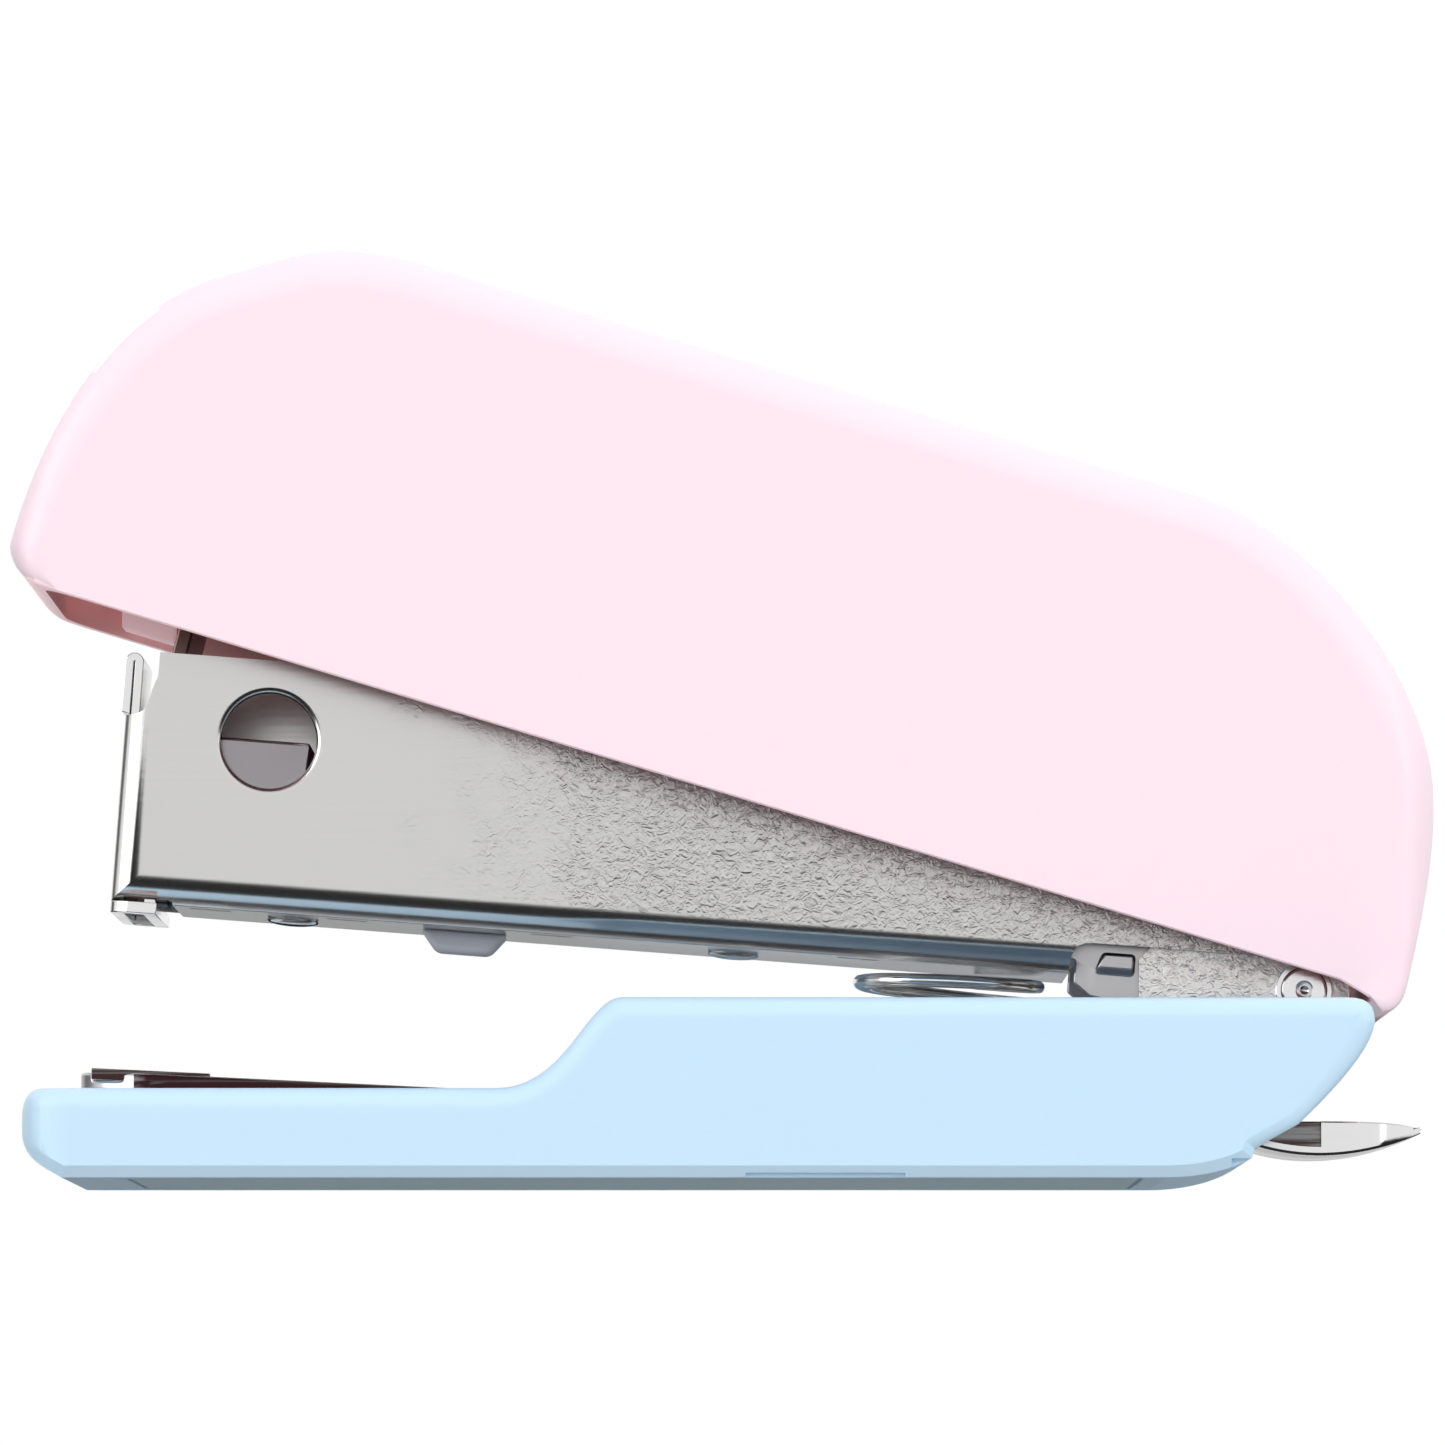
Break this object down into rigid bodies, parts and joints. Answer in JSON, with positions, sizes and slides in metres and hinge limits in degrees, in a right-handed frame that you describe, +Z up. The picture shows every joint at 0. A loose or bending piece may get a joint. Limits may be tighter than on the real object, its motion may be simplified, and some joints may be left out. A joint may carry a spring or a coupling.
{
  "type": "mini stapler",
  "caption": "Small hand stapler with a humped plastic cover, sprung steel magazine, plastic base with anvil plate, and a staple-pulling tongue at the rear.",
  "frame": {"origin": "centre of the underside, on the surface the stapler stands on", "axes": "+X towards the hinge and the staple remover, -X towards the nose, +Y across the body, +Z up"},
  "size_m": [0.062, 0.026, 0.0403],
  "materials": {
    "pink_plastic": "satin moulded",
    "blue_plastic": "satin moulded",
    "pad_plastic": "fine matt grain",
    "steel_sheet": "nickel plated, orange peel in places",
    "bright_steel": "bright nickel plate",
    "spring_wire": "drawn wire",
    "blade_steel": "oiled, dark",
    "white_pad": "smooth"
  },
  "bodies": {
    "base": {"base_shell": "blue_plastic", "bottom_pad": "pad_plastic", "base_plate": "steel_sheet", "anvil": "bright_steel", "hinge_bracket": "steel_sheet", "plate_rivet": "bright_steel", "remover_rivet": "bright_steel", "hinge_pin": "bright_steel", "pin_washer_left": "steel_sheet", "pin_washer_right": "steel_sheet", "return_spring": "spring_wire", "staple_remover": "bright_steel"},
    "magazine": {"magazine_frame": "steel_sheet", "staple_rail": "steel_sheet", "nose_guide": "bright_steel", "front_hook": "bright_steel", "bump_stop": "white_pad", "rail_rivet_front": "bright_steel", "rail_rivet_rear": "bright_steel", "rod_stop": "steel_sheet", "guide_rod": "bright_steel", "pusher_spring": "spring_wire", "cover_spring": "spring_wire"},
    "pusher": {"pusher": "steel_sheet"},
    "cover": {"top_cover": "pink_plastic", "driver_arm": "steel_sheet", "driver_blade": "blade_steel", "arm_rivet_front": "bright_steel", "arm_rivet_rear": "bright_steel"}
  },
  "joints": [
    {"name": "magazine_pivot", "type": "hinge", "parent": "base", "child": "magazine", "pos_m": [0.0254, 0, 0.0083], "axis": [0, 1, 0], "range_deg": [-7.4, 0], "stiffness_Nm_per_rad": 0.12, "springref_deg": 17.19, "deforming": ["return_spring"]},
    {"name": "cover_pivot", "type": "hinge", "parent": "magazine", "child": "cover", "pos_m": [0.0254, 0, 0.0083], "axis": [0, 1, 0], "range_deg": [-9.9, 45], "stiffness_Nm_per_rad": 0.05, "springref_deg": 5.16, "deforming": ["cover_spring"]},
    {"name": "pusher_slide", "type": "slide", "parent": "magazine", "child": "pusher", "axis": [0.9971, 0, -0.0755], "range_m": [0, 0.026], "stiffness_N_per_m": 60, "springref_m": -0.012, "deforming": ["pusher_spring"]}
  ]
}
